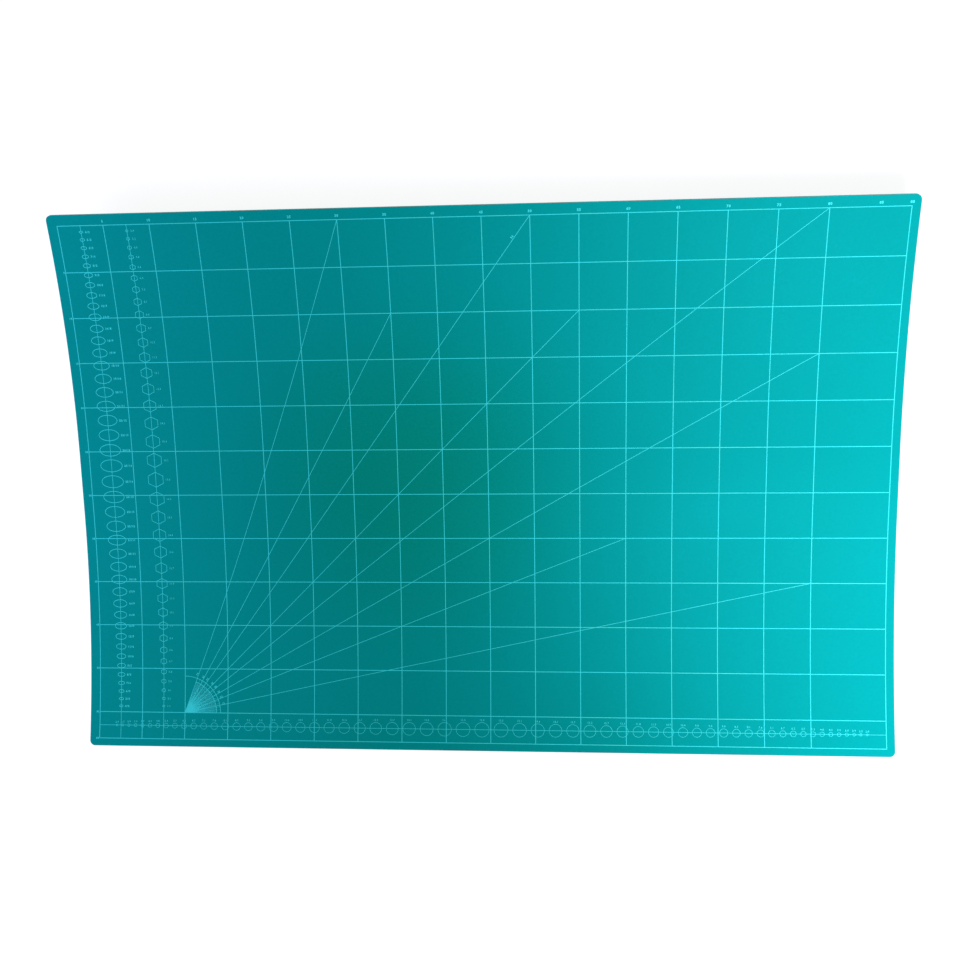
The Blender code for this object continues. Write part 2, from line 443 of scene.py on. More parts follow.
def cut_ply_material(name, colour):
    made, tree, shader = material(name)
    tint = placed(tree, drift_group, colour=colour, amount=0.12, patch_size=0.02)
    upright = node(tree, "ShaderNodeMapping", {"Vector": object_place(tree), "Scale": (1, 1, 0.1)}).outputs[0]
    streaks = noise(tree, upright, DIE_STREAK_SCALE, detail=3)
    tree.links.new(tint, shader["Base Color"])
    tree.links.new(maths(tree, "MULTIPLY_ADD", streaks, 0.2, 0.5), shader["Roughness"])
    tree.links.new(bumped(tree, streaks, distance=0.05 * MM, strength=0.6), shader["Normal"])
    return made


def ink_material(name, colour, below):
    made, tree, shader = material(name)
    tint = placed(tree, drift_group, colour=colour, amount=0.10, patch_size=0.05)
    speckle = noise(tree, object_place(tree), INK_SPECKLE_SCALE)
    thin = node(tree, "ShaderNodeMapRange", {
        "Value": speckle, "From Min": 0.55, "From Max": 0.75, "To Max": 0.35}).outputs[0]
    grain = placed(tree, grain_group, grain_size=GRAIN_SIZE)
    tree.links.new(blended(tree, thin, tint, below), shader["Base Color"])
    tree.links.new(maths(tree, "MULTIPLY_ADD", speckle, 0.2, 0.35), shader["Roughness"])
    tree.links.new(bumped(tree, grain, distance=0.02 * MM, strength=0.4), shader["Normal"])
    give_tinted_sheen(shader)
    return made


# The printed side carries painted shade in its middle, and the underside has none.
printed_skin = skin_material("printed_side_pvc", GREEN, roughness=0.50, grain_depth=0.5,
                             painted_shade_colour=PAINTED_SHADE_GREEN)
plain_skin = skin_material("underside_pvc", GREEN, roughness=0.60, grain_depth=0.9)
milky = cut_ply_material("milky_inner_pvc", MILKY)
grey = cut_ply_material("grey_core_pvc", GREY)
ink = ink_material("pale_cyan_ink", PALE_CYAN, below=GREEN)
ply_materials = dict(zip(PLY_NAMES, (plain_skin, milky, grey, milky, printed_skin)))
print("Materials:", ", ".join(m.name for m in bpy.data.materials if m.use_nodes))

# %% [markdown]
# ## Plies
#
# A ply is a rounded rectangle, which could be an outline filled with one face. But one flat face can't bend,
# so the blank is a grid of strips that run the length of the mat. The rows near both long edges are drawn in
# along a quarter circle, which makes the four round corners. Extruding the grid and closing it below gives
# the solid, a bevel breaks the cut edge, and the curl comes last.

# %% Ply blank tree
ROW_LENGTH = 5 * MM
CORNER_STEPS = 8
STRIPS = round((SHEET_WIDTH - 2 * CORNER_RADIUS) / ROW_LENGTH)
FACES_ALONG = 18
WELD = 0.0005 * MM

blank_tree, inside, out = group("Ply blank", "GeometryNodeTree", GEOMETRY + [
    ("Length", "Float"), ("Width", "Float"), ("Corner radius", "Float"), ("Corner steps", "Int"),
    ("Strips", "Int"), ("Columns", "Int"), ("Low", "Float"), ("High", "Float"), ("Material", "Material"),
], GEOMETRY)
steps = inside["Corner steps"]
rows = maths(blank_tree, "ADD", inside["Strips"], maths(blank_tree, "MULTIPLY", steps, 2))
sheet = node(blank_tree, "GeometryNodeMeshGrid", {
    "Size X": 1.0, "Size Y": rows, "Vertices X": maths(blank_tree, "ADD", inside["Columns"], 1),
    "Vertices Y": maths(blank_tree, "ADD", rows, 1)}).outputs["Mesh"]
unit = point_places(blank_tree)
half_strips = maths(blank_tree, "MULTIPLY", inside["Strips"], 0.5)
row = maths(blank_tree, "ABSOLUTE", unit["Y"])
straight_rows = maths(blank_tree, "MINIMUM", row, half_strips)
into_corner = maths(blank_tree, "DIVIDE", maths(blank_tree, "SUBTRACT", row, straight_rows), steps)
corner_angle = maths(blank_tree, "MULTIPLY", into_corner, math.pi / 2)
straight_half = maths(blank_tree, "SUBTRACT", maths(blank_tree, "MULTIPLY", inside["Width"], 0.5),
                      inside["Corner radius"])
strip = maths(blank_tree, "DIVIDE", straight_half, half_strips)
across = maths(blank_tree, "MULTIPLY_ADD", straight_rows, strip, maths(
    blank_tree, "MULTIPLY", inside["Corner radius"], maths(blank_tree, "SINE", corner_angle)))
drawn_in = maths(blank_tree, "MULTIPLY", inside["Corner radius"], maths(
    blank_tree, "SUBTRACT", 1, maths(blank_tree, "COSINE", corner_angle)))
row_length = maths(blank_tree, "MULTIPLY_ADD", drawn_in, -2, inside["Length"])
outline = vector(blank_tree, X=maths(blank_tree, "MULTIPLY", unit["X"], row_length),
                 Y=maths(blank_tree, "MULTIPLY", across, maths(blank_tree, "SIGN", unit["Y"])),
                 Z=inside["Low"])


def thickened(tree, faces, thickness):
    """Flat faces made into closed solids that stand up from them."""
    raised = node(tree, "GeometryNodeExtrudeMesh", {
        "Mesh": faces, "Offset": vector(tree, Z=thickness), "Individual": False}).outputs["Mesh"]
    below = node(tree, "GeometryNodeFlipFaces", {"Mesh": faces}).outputs[0]
    return node(tree, "GeometryNodeMergeByDistance", {
        "Geometry": together(tree, raised, below), "Distance": WELD}).outputs[0]


solid = thickened(blank_tree, moved(blank_tree, sheet, outline),
                  maths(blank_tree, "SUBTRACT", inside["High"], inside["Low"]))
finished = node(blank_tree, "GeometryNodeSetMaterial", {"Geometry": solid, "Material": inside["Material"]})
blank_tree.links.new(finished.outputs[0], out["Geometry"])
print("A blank has", STRIPS + 2 * CORNER_STEPS, "rows of", FACES_ALONG, "faces")

# %% [markdown]
# The bevel comes before the curl, while the sheet is still flat and its edges are exactly square, so here the
# curl group is a modifier of its own. The outer skins have the larger bevel: the die presses them down as it
# goes through. Between two plies it leaves only a hairline.

# %% Plies
SKIN_BEVEL = 0.10 * MM
INNER_BEVEL = 0.05 * MM
BEVEL_FROM_ANGLE = math.radians(60)

pieces = []


def make_ply(name):
    low, high = ply_heights[name]
    carrier = carrier_of(name + "_blank")
    add_tree(carrier, blank_tree, length=SHEET_LENGTH, width=SHEET_WIDTH, corner_radius=CORNER_RADIUS,
             corner_steps=CORNER_STEPS, strips=STRIPS, columns=FACES_ALONG, low=low, high=high,
             material=ply_materials[name])
    edge = carrier.modifiers.new("Cut edge", "BEVEL")
    edge.limit_method = "ANGLE"
    edge.angle_limit = BEVEL_FROM_ANGLE
    edge.width = SKIN_BEVEL if "skin" in name else INNER_BEVEL
    edge.segments = 2
    add_tree(carrier, curl_group, resting_band=RESTING_BAND, radius=CURL_RADIUS, thickness=THICKNESS)
    piece = frozen(carrier, name + "_sheet")
    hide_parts(name)
    pieces.append(piece)


for name in PLY_NAMES:
    make_ply(name)

# %% [markdown]
# ## Ink
#
# Printed lines could be painted in the skin's material, but a mark that has a shape should be a shape: it
# stays crisp at any distance and goes with the mesh. So each mark is made of flat faces, and one group turns
# them into a thin film of ink on the curled skin. Long lines are scored wherever the sheet has to bend. The
# grid is printed first. The fan and the templates lie a film's thickness higher, and the degree marks, which
# cross the rays, a hair above them.

# %% Ink film group
GRID_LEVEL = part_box("printed_grid")[0].z - THICKNESS
FAN_LEVEL = heights_on_band("printed_angle_fan")[0] - THICKNESS
FILM = heights_on_band("printed_grid")[1] - heights_on_band("printed_grid")[0]
HAIR = 0.02 * MM
MARKS_LEVEL = FAN_LEVEL + HAIR
FILM_INPUTS = [("Level", "Float"), ("Film", "Float"), ("Material", "Material")]

film_group, inside, out = group("Ink film", "GeometryNodeTree", GEOMETRY + FILM_INPUTS, GEOMETRY)
solid = thickened(film_group, inside["Geometry"], inside["Film"])
height = vector(film_group, Z=maths(film_group, "ADD", inside["Level"], THICKNESS))
lifted = node(film_group, "GeometryNodeSetPosition", {"Geometry": solid, "Offset": height}).outputs[0]
curled = node(film_group, "GeometryNodeGroup", {
    "Geometry": lifted, "Resting band": RESTING_BAND, "Radius": CURL_RADIUS, "Thickness": THICKNESS,
}, node_tree=curl_group).outputs[0]
inked = node(film_group, "GeometryNodeSetMaterial", {"Geometry": curled, "Material": inside["Material"]})
film_group.links.new(inked.outputs[0], out["Geometry"])


def end_in_ink(tree, faces, inside, out):
    """Ends a tree with the film group, which takes the same inputs as the tree."""
    film = node(tree, "GeometryNodeGroup", {
        "Geometry": faces, "Level": inside["Level"], "Film": inside["Film"], "Material": inside["Material"],
    }, node_tree=film_group)
    tree.links.new(film.outputs[0], out["Geometry"])


def inked_piece(name, carrier, tree, level, **values):
    add_tree(carrier, tree, level=level, film=FILM, material=ink, **values)
    piece = frozen(carrier, name)
    pieces.append(piece)
    return piece


levels = ", ".join(f"{level / MM:.2f}" for level in (GRID_LEVEL, FAN_LEVEL, MARKS_LEVEL))
print("The films lie", levels, "mm above the skin")

# %% [markdown]
# ## Straight lines
#
# Where two lines cross, two overlapping faces would fight over the same place. A constrained triangulation
# joins them: it takes all the outlines, finds where they cross, and returns cells that meet edge to edge. The
# scores for the bend go in as extra edges, so they come out of the same step.

# %% Lines joined into flat faces
ANY_TRIANGLE = 0
SAME_PLACE = 1e-4


def bar(start, end, width):
    """A straight line as four corners, run half its width past both ends."""
    along = (end - start).normalized() * width / 2
    aside = Vector((-along.y, along.x))
    return [start - along - aside, end + along - aside, end + along + aside, start - along + aside]


def joined(name, shapes):
    """One flat mesh from shapes that may cross, scored in rows across the mat."""
    points, faces, scores = [], [], []
    for shape in shapes:
        faces.append(list(range(len(points), len(points) + len(shape))))
        points += [Vector(corner) / MM for corner in shape]
    for row in range(round(SHEET_WIDTH / ROW_LENGTH) + 1):
        y = -SHEET_WIDTH / 2 + row * ROW_LENGTH
        scores.append((len(points), len(points) + 1))
        points += [Vector((-SHEET_LENGTH, y)) / MM, Vector((SHEET_LENGTH, y)) / MM]
    corners, _, cells, _, _, sources = delaunay_2d_cdt(points, scores, faces, ANY_TRIANGLE, SAME_PLACE)
    kept = [cell for cell, source in zip(cells, sources) if source]
    used = sorted({index for cell in kept for index in cell})
    number = {index: i for i, index in enumerate(used)}
    mesh = bpy.data.meshes.new(name)
    mesh.from_pydata([(*(corners[index] * MM), 0) for index in used], [],
                     [[number[index] for index in cell] for cell in kept])
    return mesh


def line_piece(name, shapes, level):
    carrier = carrier_of(name + "_lines", joined(name + "_lines", shapes))
    return inked_piece(name, carrier, film_group, level)


# %% [markdown]
# The grid has a line at every fifth centimetre, up to 80 along the mat and 55 across it, and one more at each
# far border. The same pass prints the thinner centre lines that the rows of templates stand on.

# %% Grid, border and centre lines
GRID_LINE = 0.75 * MM
CENTRE_LINE = 0.5 * MM
TEMPLATE_COLUMNS_CM = (2.5, 7.5)
TEMPLATE_ROW_CM = DEPTH_CM - 1.5

lines = []
for along in [SQUARE_CM * i for i in range(COLUMNS + 1)] + [END_CM]:
    lines.append(bar(spot(along, 0), spot(along, DEPTH_CM), GRID_LINE))
for down in [SQUARE_CM * i for i in range(ROWS + 1)] + [DEPTH_CM]:
    lines.append(bar(spot(0, down), spot(END_CM, down), GRID_LINE))
for along in TEMPLATE_COLUMNS_CM:
    lines.append(bar(spot(along, 0), spot(along, DEPTH_CM), CENTRE_LINE))
lines.append(bar(spot(0, TEMPLATE_ROW_CM), spot(END_CM, TEMPLATE_ROW_CM), CENTRE_LINE))
grid = line_piece("grid_print", lines, GRID_LEVEL)
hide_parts("printed_grid")

# %% [markdown]
# The fan's rays start at a crossing of the lowest grid line and end at other crossings, so their angles come
# from counting squares. Two arcs around the start close the small protractor. The outer one is a full quarter
# circle, and the inner one ends at the steepest ray.

# %% Angle fan
APEX_CM = (10, 55)
RAY_ENDS = ((4, 11), (5, 9), (8, 11), (9, 9), (14, 11), (14, 8), (10, 4), (14, 3))
RAY_LINE = 0.55 * MM
INNER_ARC = 37 * MM
OUTER_ARC = 41.5 * MM
ARC_LINE = 0.65 * MM
ARC_STEP = 2

apex = spot(*APEX_CM)
ray_angles = [math.degrees(math.atan2(up, along)) for along, up in RAY_ENDS]
steepest = round(max(ray_angles))


def arc(radius, last_degree):
    """An arc around the apex from the grid line up, as short straight pieces."""
    shapes = []
    for degree in range(0, last_degree, ARC_STEP):
        corners = []
        for at, side in ((degree, -1), (degree, 1), (degree + ARC_STEP, 1), (degree + ARC_STEP, -1)):
            angle = math.radians(at)
            reach = radius + side * ARC_LINE / 2
            corners.append(apex + reach * Vector((math.cos(angle), math.sin(angle))))
        shapes.append(corners)
    return shapes


lines = [bar(apex, apex + SQUARE_CM * CM * Vector(end), RAY_LINE) for end in RAY_ENDS]
fan = line_piece("angle_fan_print", lines + arc(INNER_ARC, steepest) + arc(OUTER_ARC, 90), FAN_LEVEL)
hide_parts("printed_angle_fan")
print("The rays stand at", ", ".join(f"{angle:.0f}" for angle in ray_angles), "degrees")

# %% [markdown]
# ## One mark for each degree
#
# Between the lowest grid line and the steepest ray the protractor has a fine mark for every degree and a
# longer, heavier one for every fifth. Near the apex they run together into a solid wedge. Drawn as crossing
# bars that wedge would be a tangle of slivers. Instead each mark is a needle: from the apex it widens just as
# fast as the angle between two marks, so neighbours meet edge to edge. Once it is as wide as a fine mark it
# runs on straight, and a fifth mark gains the rest of its width on the way. Geometry nodes turn copies of the
# two needles round the apex.

# %% Degree marks
FINE_MARK = 0.2 * MM
FIFTH_MARK = 0.25 * MM
HALF_DEGREE = math.radians(0.5)
SHANK_FACES = 4
NEEDLE_WELD = 0.001 * MM


def needle(tree, reach, width, tip_width):
    """A flat mark along x from the origin, as a triangle and the bar that carries it on."""
    half = maths(tree, "MULTIPLY", tip_width, 0.5)
    solid_to = maths(tree, "DIVIDE", half, math.tan(HALF_DEGREE))
    tip = node(tree, "GeometryNodeMeshCircle", {"Vertices": 3, "Radius": 1.0}, fill_type="NGON").outputs[0]
    corner = node(tree, "GeometryNodeInputIndex").outputs[0]
    side = maths(tree, "MULTIPLY_ADD", corner, 2, -3)
    off_apex = maths(tree, "SUBTRACT", 1, maths(tree, "COMPARE", corner, 0, 0.1))
    tip = moved(tree, tip, vector(
        tree, X=maths(tree, "MULTIPLY", solid_to, off_apex),
        Y=maths(tree, "MULTIPLY", maths(tree, "MULTIPLY", side, half), off_apex)))
    shank = node(tree, "GeometryNodeMeshGrid", {
        "Size X": 1.0, "Size Y": 1.0, "Vertices X": SHANK_FACES + 1, "Vertices Y": 2}).outputs[0]
    unit = point_places(tree)
    share = maths(tree, "ADD", unit["X"], 0.5)
    run = maths(tree, "SUBTRACT", reach, solid_to)
    gained = maths(tree, "MINIMUM", maths(tree, "MULTIPLY", share, SHANK_FACES), 1)
    bar_width = maths(tree, "MULTIPLY_ADD", gained, maths(tree, "SUBTRACT", width, tip_width), tip_width)
    shank = moved(tree, shank, vector(
        tree, X=maths(tree, "MULTIPLY_ADD", share, run, solid_to),
        Y=maths(tree, "MULTIPLY", unit["Y"], bar_width)))
    return node(tree, "GeometryNodeGeometryToInstance", {0: together(tree, tip, shank)}).outputs[0]


marks_tree, inside, out = group("Degree marks", "GeometryNodeTree", GEOMETRY + [
    ("Apex", "Vector"), ("Last degree", "Int"), ("Fine reach", "Float"), ("Fine width", "Float"),
    ("Fifth reach", "Float"), ("Fifth width", "Float")] + FILM_INPUTS, GEOMETRY)
degrees = node(marks_tree, "GeometryNodeMeshLine", {
    "Count": maths(marks_tree, "ADD", inside["Last degree"], 1), "Start Location": inside["Apex"],
    "Offset": (0, 0, 0)}).outputs[0]
degree = node(marks_tree, "GeometryNodeInputIndex").outputs[0]
is_fifth = maths(marks_tree, "COMPARE", maths(marks_tree, "MODULO", degree, 5), 0, 0.1)
needles = [needle(marks_tree, inside[kind + " reach"], inside[kind + " width"], inside["Fine width"])
           for kind in ("Fifth", "Fine")]
spread = node(marks_tree, "GeometryNodeInstanceOnPoints", {
    "Points": degrees, "Instance": together(marks_tree, *needles), "Pick Instance": True,
    "Instance Index": is_fifth, "Rotation": vector(marks_tree, Z=maths(marks_tree, "RADIANS", degree)),
}).outputs[0]
real = node(marks_tree, "GeometryNodeRealizeInstances", {0: spread}).outputs[0]
welded = node(marks_tree, "GeometryNodeMergeByDistance", {
    "Geometry": real, "Distance": NEEDLE_WELD}).outputs[0]
end_in_ink(marks_tree, welded, inside, out)
inked_piece("degree_marks", carrier_of("degree_marks_carrier"), marks_tree, MARKS_LEVEL,
            apex=(*apex, 0), last_degree=steepest, fine_reach=INNER_ARC, fine_width=FINE_MARK,
            fifth_reach=OUTER_ARC, fifth_width=FIFTH_MARK)

# %% [markdown]
# ## Rows of templates
#
# Down the left side stand ellipses and hexagons, and along the bottom circles, all growing towards the middle
# of their row and shrinking again. A short rule gives the size and place of each. The rule writes them on a
# line of points as attributes, and one tree puts a ring on every point: it scales a circle of curve and only
# then gives it the width of a printed line, so that large and small rings are drawn with the same pen.

# %% Ring tree
def stored(tree, name, kind):
    """An attribute that the points bring along."""
    return node(tree, "GeometryNodeInputNamedAttribute", {"Name": name}, data_type=kind).outputs[0]


rings_tree, inside, out = group("Graded rings", "GeometryNodeTree", GEOMETRY + [
    ("Sides", "Int"), ("Width", "Float")] + FILM_INPUTS, GEOMETRY)
ring = node(rings_tree, "GeometryNodeCurvePrimitiveCircle", {
    "Resolution": inside["Sides"], "Radius": 0.5}).outputs[0]
spread = node(rings_tree, "GeometryNodeInstanceOnPoints", {
    "Points": inside["Geometry"], "Instance": ring, "Rotation": vector(rings_tree, Z=math.pi / 2),
    "Scale": stored(rings_tree, "ring_size", "FLOAT_VECTOR")}).outputs[0]
outline = node(rings_tree, "GeometryNodeRealizeInstances", {0: spread}).outputs[0]
half = maths(rings_tree, "MULTIPLY", inside["Width"], 0.5)
pen = node(rings_tree, "GeometryNodeCurvePrimitiveLine", {
    "Start": vector(rings_tree, X=maths(rings_tree, "MULTIPLY", half, -1)),
    "End": vector(rings_tree, X=half)}).outputs[0]
drawn = node(rings_tree, "GeometryNodeCurveToMesh", {"Curve": outline, "Profile Curve": pen}).outputs[0]
end_in_ink(rings_tree, drawn, inside, out)


def graded_row(count, first_place, last_place, first_pitch, first_size, largest_size, peak=0.5):
    """Places along a row and sizes, which rise in equal steps to the peak and fall again."""
    last = count - 1

    def rise(i):
        return min(i / (peak * last), (last - i) / ((1 - peak) * last))
    rises = [rise(i + 0.5) for i in range(last)] + [0]
    growth = (last_place - first_place - last * first_pitch) / sum(rises)
    row, at = [], first_place
    for i in range(count):
        row.append((at, first_size + (largest_size - first_size) * rise(i)))
        at += first_pitch + growth * rises[i]
    return row


# %% [markdown]
# The three rows differ only in numbers: places and pitches in centimetres, as the scales count them, and
# sizes in millimetres, as the numbers beside them do. An ellipse is a circle drawn flatter, and a hexagon is
# a circle with six sides, here pressed a little so that it is as tall as wide. The circles are drawn with the
# finer pen of the two.

# %% Template rows
BROAD_PEN = 0.65 * MM
FINE_PEN = 0.45 * MM
ROUND_SIDES = 32
ELLIPSE_SHAPE = 0.55
HEXAGON_CORNERS = 1 / math.cos(math.pi / 6)


def point_mesh(name, places, attributes):
    """Loose points with attributes, each given as a name, a type and one value per point."""
    mesh = bpy.data.meshes.new(name)
    mesh.from_pydata([(*place, 0) for place in places], [], [])
    for key, kind, values in attributes:
        layer = mesh.attributes.new(key, kind, "POINT")
        for i, value in enumerate(values):
            if kind == "FLOAT_VECTOR":
                layer.data[i].vector = value
            else:
                layer.data[i].value = value
    return mesh


def ring_row(name, rings, sides, pen):
    """Rings, each given as a centre, a width and a height."""
    sizes = [(tall, wide, 1) for _, wide, tall in rings]
    mesh = point_mesh(name, [centre for centre, _, _ in rings], [("ring_size", "FLOAT_VECTOR", sizes)])
    inked_piece(name, carrier_of(name + "_points", mesh), rings_tree, FAN_LEVEL, sides=sides, width=pen)


row = graded_row(count=42, first_place=0.68, last_place=54.33, first_pitch=0.80,
                 first_size=4.0, largest_size=25.5)
ellipses = [(spot(TEMPLATE_COLUMNS_CM[0], down), wide * MM, wide * ELLIPSE_SHAPE * MM) for down, wide in row]
ring_row("ellipse_templates", ellipses, ROUND_SIDES, BROAD_PEN)
row = graded_row(count=36, first_place=0.65, last_place=54.28, first_pitch=0.81,
                 first_size=2.4, largest_size=17.0, peak=0.515)
hexagons = [(spot(TEMPLATE_COLUMNS_CM[1], down), wide * MM) for down, wide in row]
ring_row("hexagon_templates", [(centre, wide * HEXAGON_CORNERS, wide) for centre, wide in hexagons],
         6, BROAD_PEN)
row = graded_row(count=61, first_place=2.04, last_place=85.98, first_pitch=0.65,
                 first_size=2.0, largest_size=16.0)
circles = [(spot(along, TEMPLATE_ROW_CM), wide * MM) for along, wide in row]
ring_row("circle_templates", [(centre, wide, wide) for centre, wide in circles], ROUND_SIDES, FINE_PEN)

# %% [markdown]
# ## Numbers
#
# There are hundreds of digits on the mat, so they are set as a printer would set them, from a type case: one
# flat mesh for each digit in a bold and in a light cut, and a list of points that says which digit stands
# where, how high it is and which way it turns. The tree picks each digit out of the case.

# %% Type case
CASE = "0123456789/."
ADVANCE = 0.71
POINT_ADVANCE = 0.4
BOLD = 0.065
LIGHT = 0.02


def cut_type(character, weight):
    """One character as a flat mesh centred on its place, and its size."""
    drawing = bpy.data.curves.new("type", "FONT")
    drawing.body = character
    drawing.resolution_u = 2
    drawing.offset = weight
    mesh = plain_mesh(carrier_of("type", drawing))
    bm = bmesh.new()
    bm.from_mesh(mesh)
    bmesh.ops.remove_doubles(bm, verts=bm.verts, dist=1e-5)
    bmesh.ops.beautify_fill(bm, faces=bm.faces, edges=bm.edges)
    bm.normal_update()
    low = Vector([min(v.co[axis] for v in bm.verts) for axis in range(3)])
    high = Vector([max(v.co[axis] for v in bm.verts) for axis in range(3)])
    for vertex in bm.verts:
        vertex.co = vertex.co - (low + high) / 2
    for face in bm.faces:
        if face.normal.z < 0:
            face.normal_flip()
    bm.to_mesh(mesh)
    bm.free()
    return mesh, high - low


type_case = bpy.data.collections.new("type_case")
for weight in (BOLD, LIGHT):
    digit_height = cut_type("0", weight)[1].y
    for character in CASE:
        mesh, size = cut_type(character, weight)
        on_the_line = Matrix.Translation((0, min(0, (size.y - digit_height) / 2), 0))
        mesh.transform(Matrix.Scale(1 / digit_height, 4) @ on_the_line)
        sort = bpy.data.objects.new(f"type_{len(type_case.objects):02d}", mesh)
        type_case.objects.link(sort)
        print(f"'{character}' has {len(mesh.polygons)} faces and is {size.x / digit_height:.2f} wide")

# %% [markdown]
# A number is set digit by digit along its own line, and each digit becomes a point. The points of all numbers
# of a kind go through the tree together and come out as one piece.

# %% Typesetting
digits_tree, inside, out = group("Digits", "GeometryNodeTree", GEOMETRY + FILM_INPUTS, GEOMETRY)
case = node(digits_tree, "GeometryNodeCollectionInfo", {
    "Collection": type_case, "Separate Children": True, "Reset Children": True}).outputs[0]
set_type = node(digits_tree, "GeometryNodeInstanceOnPoints", {
    "Points": inside["Geometry"], "Instance": case, "Pick Instance": True,
    "Instance Index": stored(digits_tree, "digit", "INT"),
    "Rotation": vector(digits_tree, Z=stored(digits_tree, "turn", "FLOAT")),
    "Scale": stored(digits_tree, "height", "FLOAT")}).outputs[0]
real = node(digits_tree, "GeometryNodeRealizeInstances", {0: set_type}).outputs[0]
end_in_ink(digits_tree, real, inside, out)


def typeset(text, place, height, align=0.5, turn=0.0, weight=BOLD):
    """The digits of one number. Its place is its left end, middle or right end, with align 0, 0.5 or 1."""
    advances = [(POINT_ADVANCE if character == "." else ADVANCE) * height for character in text]
    along = Vector((math.cos(turn), math.sin(turn)))
    first_in_case = 0 if weight == BOLD else len(CASE)
    at = -align * sum(advances)
    line = []
    for character, advance in zip(text, advances):
        line.append((place + along * (at + advance / 2), first_in_case + CASE.index(character), height, turn))
        at += advance
    return line


def number_piece(name, digits, level):
    places, sorts, heights, turns = zip(*digits)
    mesh = point_mesh(name, places, [
        ("digit", "INT", sorts), ("height", "FLOAT", heights), ("turn", "FLOAT", turns)])
    inked_piece(name, carrier_of(name + "_points", mesh), digits_tree, level)


# %% [markdown]
# The scales count centimetres in the margins, above the top border and left of the side border. On the fan
# each ray has its angle beside it, just outside the protractor, and one ray has it again near its end.

# %% Margin and fan numbers
MARGIN_DIGIT = 3.0 * MM
ABOVE_BORDER_CM = 0.42
SIDE_DIGIT = 2.4 * MM
BESIDE_BORDER_CM = 0.08
DEGREE_DIGIT = 2.3 * MM
DEGREE_FROM_APEX = 46 * MM
DEGREE_BESIDE_RAY = 1.4 * MM
RAY_DIGIT = 2.5 * MM
RAY_NUMBER = 2
RAY_NUMBER_FROM_END = 29 * MM
RAY_NUMBER_BESIDE_RAY = 2.2 * MM

digits = []
for value in [SQUARE_CM * i for i in range(1, COLUMNS + 2)] + [round(END_CM)]:
    digits += typeset(str(value), spot(value, -ABOVE_BORDER_CM), MARGIN_DIGIT)
for value in [SQUARE_CM * i for i in range(1, ROWS + 1)] + [round(DEPTH_CM)]:
    digits += typeset(str(value), spot(-BESIDE_BORDER_CM, value), SIDE_DIGIT, align=1)
for angle in ray_angles:
    turn = math.radians(angle)
    along = Vector((math.cos(turn), math.sin(turn)))
    aside = Vector((-along.y, along.x))
    beside = apex + DEGREE_FROM_APEX * along + DEGREE_BESIDE_RAY * aside
    digits += typeset(f"{angle:.0f}", beside, DEGREE_DIGIT, turn=turn)
turn = math.radians(ray_angles[RAY_NUMBER])
reach = SQUARE_CM * CM * Vector(RAY_ENDS[RAY_NUMBER])
along = reach.normalized()
beside = apex + reach - RAY_NUMBER_FROM_END * along + RAY_NUMBER_BESIDE_RAY * along.orthogonal()
digits += typeset(f"{ray_angles[RAY_NUMBER]:.0f}", beside, RAY_DIGIT, turn=turn)
number_piece("scale_numbers", digits, MARKS_LEVEL)

# %% [markdown]
# Beside each template stands its size in millimetres: width and height for an ellipse, and the width alone
# for a hexagon and a circle. Those two rows are set in the light cut, to one decimal. Afterwards the type
# case is put away, because it isn't part of the mat.

# %% Template numbers
ELLIPSE_DIGIT = 2.5 * MM
ELLIPSE_GAP = 2.2 * MM
HEXAGON_DIGIT = 2.2 * MM
HEXAGON_GAP = 2.7 * MM
CIRCLE_DIGIT = 2.2 * MM
CIRCLE_GAP = 1.6 * MM

digits = []
for centre, wide, tall in ellipses:
    beside = centre + Vector((wide / 2 + ELLIPSE_GAP, 0))
    digits += typeset(f"{wide / MM:.0f}/{tall / MM:.0f}", beside, ELLIPSE_DIGIT, align=0)
for centre, wide in hexagons:
    beside = centre + Vector((wide / 2 + HEXAGON_GAP, 0))
    digits += typeset(f"{wide / MM:.1f}", beside, HEXAGON_DIGIT, align=0, weight=LIGHT)
for centre, wide in circles:
    above = centre + Vector((0, wide / 2 + CIRCLE_GAP + CIRCLE_DIGIT / 2))
    digits += typeset(f"{wide / MM:.1f}", above, CIRCLE_DIGIT, weight=LIGHT)
number_piece("template_numbers", digits, FAN_LEVEL)
for sort in list(type_case.objects):
    bpy.data.objects.remove(sort)
bpy.data.collections.remove(type_case)

# %% [markdown]
# ## Floor and light
#
# The photograph has a white ground, so the floor is white to the camera and in reflections, but it still
# takes the mat's shadow and stays an ordinary pale floor to the light that bounces about.

# %% Floor
FLOOR_HALF = 4.0
FLOOR_LEVEL = -0.2 * MM
PALE = (0.8, 0.8, 0.8, 1)
SHADED = (0.30, 0.30, 0.38, 1)
WHITE = (1, 1, 1, 1)

corners = [(x * FLOOR_HALF, y * FLOOR_HALF, FLOOR_LEVEL) for x, y in ((-1, -1), (1, -1), (1, 1), (-1, 1))]
floor_mesh = bpy.data.meshes.new("floor")
floor_mesh.from_pydata(corners, [], [(0, 1, 2, 3)])
floor = carrier_of("floor", floor_mesh)

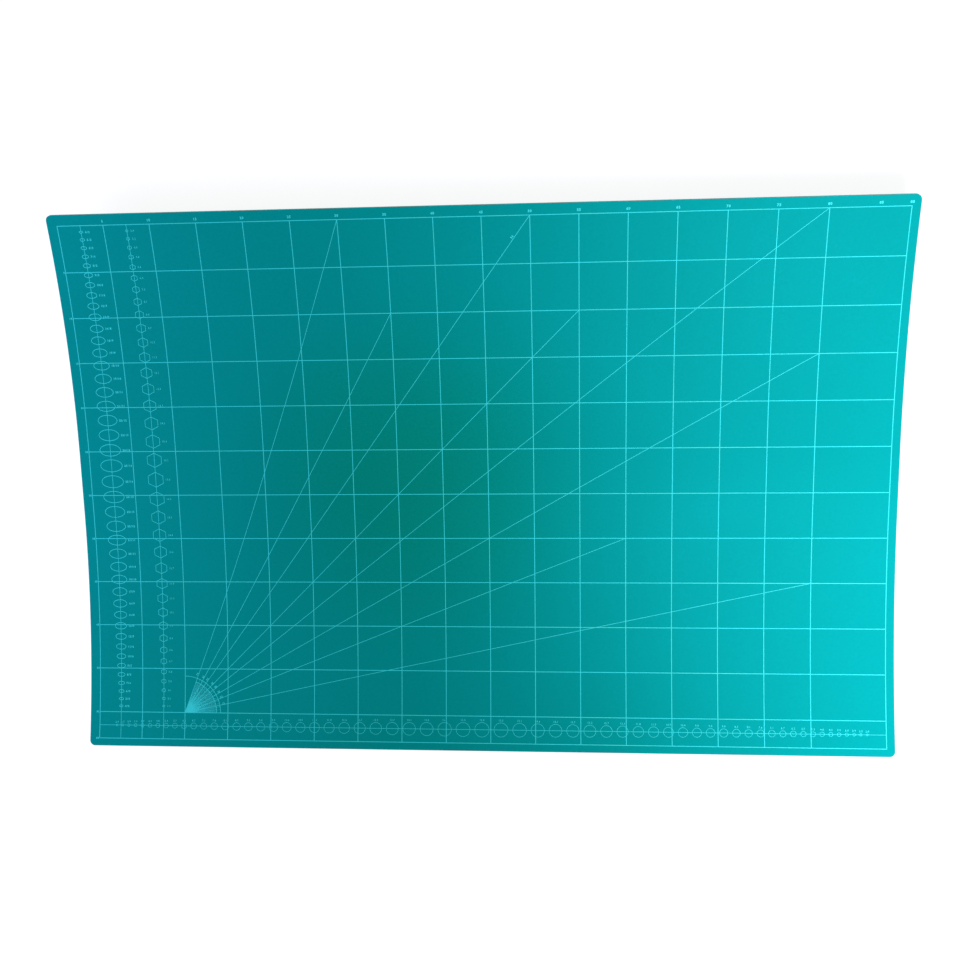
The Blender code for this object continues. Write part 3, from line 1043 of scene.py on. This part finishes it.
white_ground, tree, shader = material("white_ground")
shader["Base Color"].default_value = PALE
shader["Roughness"].default_value = 0.9
shader["Specular IOR Level"].default_value = 0.1
seen = node(tree, "ShaderNodeLightPath").outputs
mirrored_or_through = maths(tree, "ADD", seen["Is Glossy Ray"], seen["Is Transmission Ray"])
direct = maths(tree, "MINIMUM", maths(tree, "ADD", seen["Is Camera Ray"], mirrored_or_through), 1)
shade = node(tree, "ShaderNodeBsdfDiffuse", {"Color": SHADED}).outputs[0]
glow = node(tree, "ShaderNodeEmission", {"Color": WHITE, "Strength": 0.85}).outputs[0]
to_camera = node(tree, "ShaderNodeAddShader", {0: shade, 1: glow}).outputs[0]
to_the_rest = tree.nodes["Principled BSDF"].outputs[0]
surface = node(tree, "ShaderNodeMixShader", {0: direct, 1: to_the_rest, 2: to_camera}).outputs[0]
tree.links.new(surface, tree.nodes["Material Output"].inputs["Surface"])
floor_mesh.materials.append(white_ground)
print("The floor is", 2 * FLOOR_HALF, "m wide")

# %% [markdown]
# A large soft lamp stands on the right, which is the bright side of the photograph, and a weaker one fills in
# from the left. The weaker one isn't mirrored, because seen along the mat it would lay a blue glare over it.
# The room itself lends a soft light from everywhere, and only the camera sees it as white.

# %% Lamps and world
def soft_lamp(name, place, aim, size, spread, power, colour, mirrored=True):
    lamp_data = bpy.data.lights.new(name, "AREA")
    lamp_data.size = size
    lamp_data.spread = math.radians(spread)
    lamp_data.energy = power
    lamp_data.color = colour
    lamp = bpy.data.objects.new(name, lamp_data)
    lamp.location = place
    lamp.rotation_euler = (Vector(aim) - Vector(place)).to_track_quat("-Z", "Y").to_euler()
    lamp.visible_glossy = mirrored
    bpy.context.scene.collection.objects.link(lamp)
    print(f"{name} lamp: {power} W")


soft_lamp("key", place=(0.5, -0.6, 1.0), aim=(1.2, 0.15, 0), size=0.6, spread=113,
          power=14.2, colour=(0.98, 0.98, 1))
soft_lamp("fill", place=(-1.4, -0.3, 0.6), aim=(-0.2, 0.5, 0), size=0.6, spread=140,
          power=9.2, colour=(0.6, 0.63, 1), mirrored=False)

world = bpy.data.worlds.new("studio")
world.use_nodes = True
tree = world.node_tree
room_light = tree.nodes["Background"]
room_light.inputs["Color"].default_value = (1, 1, 0.79, 1)
room_light.inputs["Strength"].default_value = 0.45
plain_sky = node(tree, "ShaderNodeBackground", {"Color": WHITE, "Strength": 1.0}).outputs[0]
camera_ray = node(tree, "ShaderNodeLightPath").outputs["Is Camera Ray"]
sky = node(tree, "ShaderNodeMixShader", {0: camera_ray, 1: room_light.outputs[0], 2: plain_sky}).outputs[0]
tree.links.new(sky, tree.nodes["World Output"].inputs["Surface"])
bpy.context.scene.world = world
bpy.context.scene.view_settings.view_transform = "Standard"

# %% [markdown]
# ## One body for every piece
#
# The mat has no joint, so every piece rides on the one body. The last line writes down how many pieces and
# faces the finished model has.

# %% Ride and count the faces
for piece in pieces:
    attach(piece, "root")
faces = sum(len(piece.data.polygons) for piece in pieces)
print(len(pieces), "pieces with", faces, "faces")
